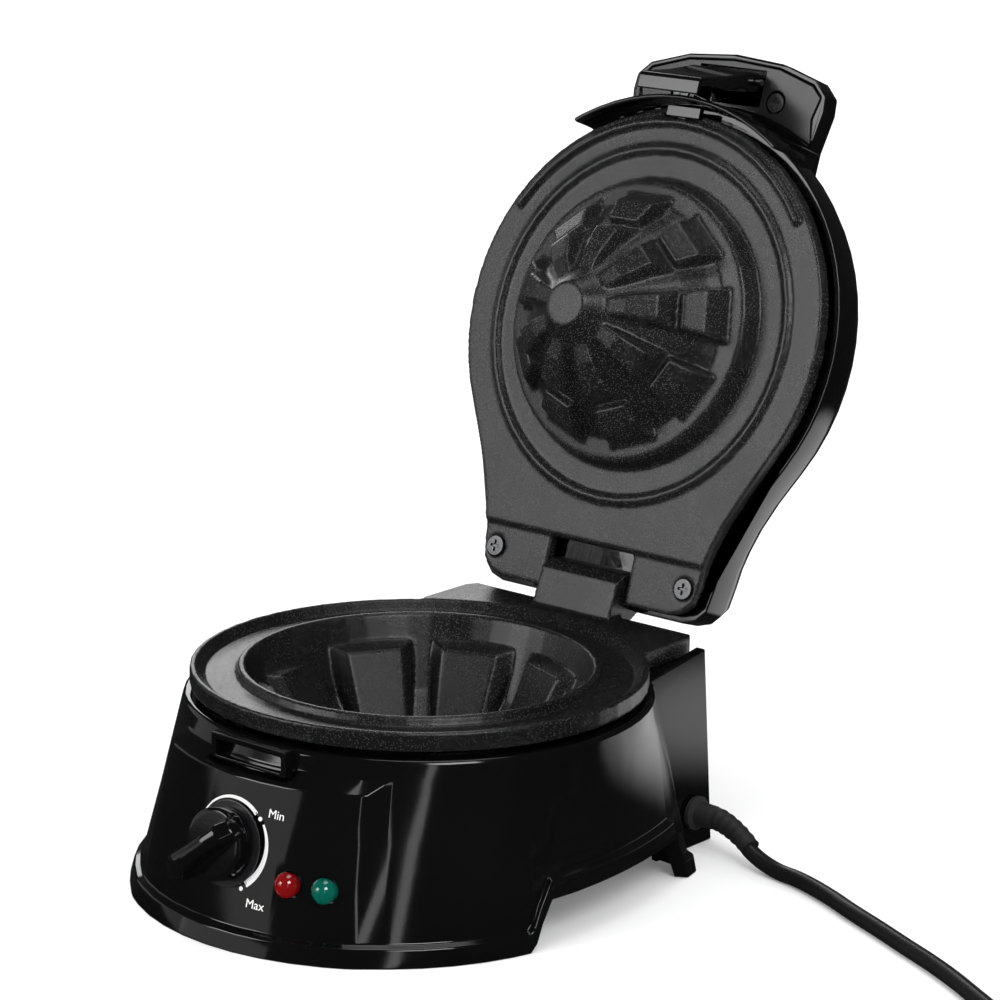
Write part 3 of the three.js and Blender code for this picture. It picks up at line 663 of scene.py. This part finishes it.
# %% [markdown]
# ## Cast plates
# The two baking plates are cast aluminium under a non-stick coat, and a casting
# has no sharp edge anywhere. Rolling hundreds of crossing edges one by one is
# slow. A voxel remesh wraps the whole shape in an even skin and a few rounds of
# smoothing then soften every ridge and corner alike, as the casting does.


# %% Plates
def cast_copy(node, name, keep, upright=None, voxel=0.0008, rounds=2):
    """A remeshed copy. A tilted part is laid level while its skin is made."""
    obj = own_copy(node, name)
    if upright:
        obj.data.transform(upright.inverted())
    finish_with(obj, "REMESH", mode="VOXEL", voxel_size=voxel, adaptivity=0.0)
    finish_with(obj, "SMOOTH", factor=0.5, iterations=rounds)
    finish_with(obj, "DECIMATE", ratio=keep)
    if upright:
        obj.data.transform(upright)
    pick(obj)
    bpy.ops.object.shade_smooth()
    print(name, len(obj.data.polygons), "faces")
    return obj


mould = cast_copy("lower_plate", "mould", 0.42)
dress(mould, nonstick, "base", "nonstick", "lower_plate")
dome_plate = cast_copy("upper_plate", "dome_plate", 0.6, LID_OPEN)
dress(dome_plate, nonstick_lid, "lid", "nonstick", "upper_plate")

# %% [markdown]
# ## Housings and handle
# The housings are shiny injection mouldings with small rolled edges. A bevel
# limited by angle rolls only the real edges and leaves the round walls alone,
# and weighted normals keep the big faces flat in the reflections.

# %% Moulded pieces
MOULDED = [
    # node, piece, finish, body, slot, edge radius
    ("base_housing", "drum_housing", piano_black, "base", "gloss_black", 0.0007),
    ("lid_housing", "lid_shell", piano_black, "lid", "gloss_black", 0.0009),
    ("handle_cover", "handle_plate", satin_black, "lid", "satin_black", 0.0004),
    ("latch", "latch_hook", piano_black, "latch", "gloss_black", 0.0005),
    ("latch_keeper", "latch_loop", piano_black, "base", "gloss_black", 0.0006),
    ("plate_clip", "plate_catch", piano_black, "lid", "gloss_black", 0.0004),
    ("bottom_cover", "underside_cover", inner_plastic, "base", "inner_plastic", 0.0004),
    ("knob_bezel", "dial_disc", satin_black, "base", "satin_black", 0.0003),
]
for node, piece, paint, body, slot, edge in MOULDED:
    made = moulded_copy(node, piece, edge)
    dress(made, paint, body, slot, node)
    print(piece, len(made.data.polygons), "faces")

# %% [markdown]
# ## Grip of the knob
# The knob is a round skirt with a tall pinched grip that flares into it. The grip
# is drawn as cross sections along its length, which are joined to one solid.


# %% Grip
def lofted(name, sections):
    """Joins closed sections of equal length into one capped solid."""
    mesh = bmesh.new()
    rings = [[mesh.verts.new(Vector(p) / 1000) for p in ring] for ring in sections]
    count = len(rings[0])
    for low, high in zip(rings, rings[1:]):
        for a in range(count):
            b = (a + 1) % count
            mesh.faces.new((low[a], low[b], high[b], high[a]))
    mesh.faces.new(list(reversed(rings[0])))
    mesh.faces.new(rings[-1])
    bmesh.ops.recalc_face_normals(mesh, faces=mesh.faces)
    obj = bpy.data.objects.new(name, bpy.data.meshes.new(name))
    mesh.to_mesh(obj.data)
    mesh.free()
    bpy.context.collection.objects.link(obj)
    return obj


# along the grip, half width, top, how far its foot flares
GRIP = [(-14.2, 3.0, 8.0, 1.2), (-12.5, 4.0, 11.5, 1.6), (-8, 4.1, 15.2, 2.0),
        (-2, 3.8, 17.0, 2.2), (4, 3.8, 17.6, 1.9), (9, 4.3, 17.9, 1.45), (13, 4.9, 17.9, 1.1),
        (16.5, 5.0, 17.2, 1.0), (18.9, 4.2, 15.8, 1.0), (20.0, 2.8, 13.8, 1.0)]
sections = []
for along, half, top, flare in GRIP:
    foot = 5.0 if along < 13 else 5.0 + (along - 13) * 0.35
    side = [(half * flare, foot), (half * (1 + (flare - 1) * 0.5), foot + 2.2), (half, foot + 5),
            (half * 0.92, top - 2.0), (half * 0.62, top - 0.5), (half * 0.2, top)]
    sections.append([(x, along, z) for x, z in side]
                    + [(-x, along, z) for x, z in reversed(side)])
grip = lofted("knob_grip", sections)
print("grip sections", len(sections))

# %% [markdown]
# ## Skirt of the knob
# The skirt is a low cylinder whose top is inset and raised for a small step. It is
# joined to the grip, and one voxel remesh melts both into a single skin with soft
# fillets, as they would come out of a mould. The pointer starts at the off mark.

# %% Skirt and whole knob
SKIRT_RADIUS, SKIRT_HIGH, SKIRT_MIDDLE = 0.0138, 0.0066, 0.0053
STEP_WIDTH, STEP_RISE = 0.0012, 0.0007
OFF_MARK = 223                         # bearing of the off mark on the dial
bpy.ops.object.select_all(action="DESELECT")
bpy.ops.mesh.primitive_cylinder_add(radius=SKIRT_RADIUS, depth=SKIRT_HIGH, vertices=96,
                                    location=(0, 0, SKIRT_MIDDLE))
knob = bpy.context.object
bpy.ops.object.mode_set(mode="EDIT")
bpy.ops.mesh.select_mode(type="FACE")
bpy.ops.mesh.select_all(action="DESELECT")
bpy.ops.object.mode_set(mode="OBJECT")
for face in knob.data.polygons:
    face.select = abs(face.normal.z) > 0.9 and face.center.z > 0
bpy.ops.object.mode_set(mode="EDIT")
bpy.ops.mesh.inset(thickness=STEP_WIDTH)
bpy.ops.transform.translate(value=(0, 0, STEP_RISE))
bpy.ops.mesh.select_all(action="DESELECT")
bpy.ops.object.mode_set(mode="OBJECT")
bpy.ops.object.transform_apply(location=True)
knob.select_set(True)
grip.select_set(True)
bpy.context.view_layer.objects.active = knob
bpy.ops.object.join()
named(knob, "thermostat_knob")
finish_with(knob, "REMESH", mode="VOXEL", voxel_size=0.00034)
finish_with(knob, "SMOOTH", factor=0.5, iterations=5)
pick(knob)
bpy.ops.object.shade_smooth()
place(knob, KNOB_PLACE @ Matrix.Rotation(math.radians(OFF_MARK - 90), 4, "Z"))
dress(knob, piano_black, "knob", "gloss_black", "knob")
print("knob faces", len(knob.data.polygons))

# %% [markdown]
# ## Printing on a curved panel
# A print has hardly any thickness, so each mark is drawn flat, dropped onto the
# curved panel with rays and given a skin of a tenth of a millimetre.


# %% Print tools
housing_tree = BVHTree.FromObject(bpy.data.objects["drum_housing"],
                                  bpy.context.evaluated_depsgraph_get())
RAY_START, PRINT_GAP, PRINT_THICK = 0.03, 0.00003, 0.0001
PANEL_OUT = (KNOB_PLACE.to_3x3() @ Vector((0, 0, 1))).normalized()


def on_panel(x, y):
    start = KNOB_PLACE @ Vector((x / 1000, y / 1000, RAY_START))
    hit = housing_tree.ray_cast(start, -PANEL_OUT)[0]
    return hit + PANEL_OUT * PRINT_GAP


def printed(name, mesh):
    obj = bpy.data.objects.new(name, mesh)
    bpy.context.collection.objects.link(obj)
    for vertex in mesh.vertices:
        vertex.co = on_panel(vertex.co.x * 1000, vertex.co.y * 1000)
    finish_with(obj, "SOLIDIFY", thickness=PRINT_THICK, offset=1)
    dress(obj, white_print, "base")
    return obj


def flat_mesh(name, points, faces):
    mesh = bpy.data.meshes.new(name)
    mesh.from_pydata([(x / 1000, y / 1000, 0) for x, y in points], [], faces)
    return mesh


print("panel faces", [round(v, 3) for v in PANEL_OUT])

# %% [markdown]
# ## Marks of the dial
# White arcs that widen from low to high, two dots and plain scale words. Angles
# are in degrees round the knob and lengths are in millimetres.


# %% Marks
def arc(name, start, end, first, last, outer=18.2, steps=36):
    points = []
    for i in range(steps + 1):
        share = i / steps
        angle = math.radians(start + (end - start) * share)
        width = first + (last - first) * share
        for radius in (outer - width, outer):
            points.append((radius * math.cos(angle), radius * math.sin(angle)))
    faces = [(2 * i, 2 * i + 1, 2 * i + 3, 2 * i + 2) for i in range(steps)]
    return printed(name, flat_mesh(name, points, faces))


def dot(name, angle, radius=17.6, size=0.85):
    cx, cy = radius * math.cos(math.radians(angle)), radius * math.sin(math.radians(angle))
    ring = [(cx + size * math.cos(a * math.tau / 20), cy + size * math.sin(a * math.tau / 20))
            for a in range(20)]
    faces = [(20, i, (i + 1) % 20) for i in range(20)]
    return printed(name, flat_mesh(name, ring + [(cx, cy)], faces))


def word(name, text, angle, radius, size=4.7):
    bpy.ops.object.select_all(action="DESELECT")
    bpy.ops.object.text_add()
    letters = bpy.context.object
    letters.data.body, letters.data.size = text, size / 1000
    letters.data.align_x, letters.data.align_y = "CENTER", "CENTER"
    bpy.ops.object.convert(target="MESH")
    mesh = letters.data.copy()
    bpy.data.objects.remove(letters)
    mesh.transform(Matrix.Translation((radius * math.cos(math.radians(angle)) / 1000,
                                       radius * math.sin(math.radians(angle)) / 1000, 0)))
    return printed(name, mesh)


arc("dial_arc_low", 168, 52, 0.3, 1.7)
arc("dial_arc_high", 36, -50, 0.9, 2.7)
dot("dial_dot_min", 44)
dot("dial_dot_max", -58)
word("dial_word_min", "Min", 38, 24.4)
word("dial_word_max", "Max", -50, 25.6)
word("dial_word_off", "0", OFF_MARK, 20.8, size=4.2)

# %% [markdown]
# ## Small parts
# Screws, feet, lamps and pins keep their CAD shape with a slim rolled edge.

# %% Small pieces
SMALL = [
    ("hinge_pin", bright_steel, "base", "steel"), ("latch_pin", bright_steel, "lid", "steel"),
    ("red_lens", red_glass, "base", "red_lens"), ("green_lens", green_glass, "base", "green_lens"),
    *[(f"foot_{n}", soft_rubber, "base", "rubber") for n in (1, 2, 3, 4)],
    *[(f"cover_screw_{n}", dark_zinc, "base", "zinc") for n in (1, 2, 3, 4)],
    *[(f"lid_screw_{n}", dark_zinc, "lid", "zinc") for n in (1, 2)],
    *[(f"handle_screw_{n}", dark_zinc, "lid", "zinc") for n in (1, 2)],
]
for node, paint, body, slot in SMALL:
    made = moulded_copy(node, node + "_fine", 0.00025)
    dress(made, paint, body, slot, node)
print("small pieces", len(SMALL))

# %% [markdown]
# ## Parts that stay as the CAD has them
# What is hidden inside, and the blades of the plug, keep their CAD mesh and only
# get their finish.

# %% Hidden parts
STAYING = {
    "lower_heater": bright_steel, "upper_heater": bright_steel, "lower_reflector": dark_zinc,
    "thermostat_body": dark_zinc, "thermostat_shaft": warm_brass, "latch_spring": bright_steel,
    "red_lamp": inner_plastic, "green_lamp": inner_plastic,
    "plug_blade_1": warm_brass, "plug_blade_2": warm_brass,
}
for node, paint in STAYING.items():
    nodes[node].data.materials.clear()
    nodes[node].data.materials.append(paint)
print("staying", len(STAYING))
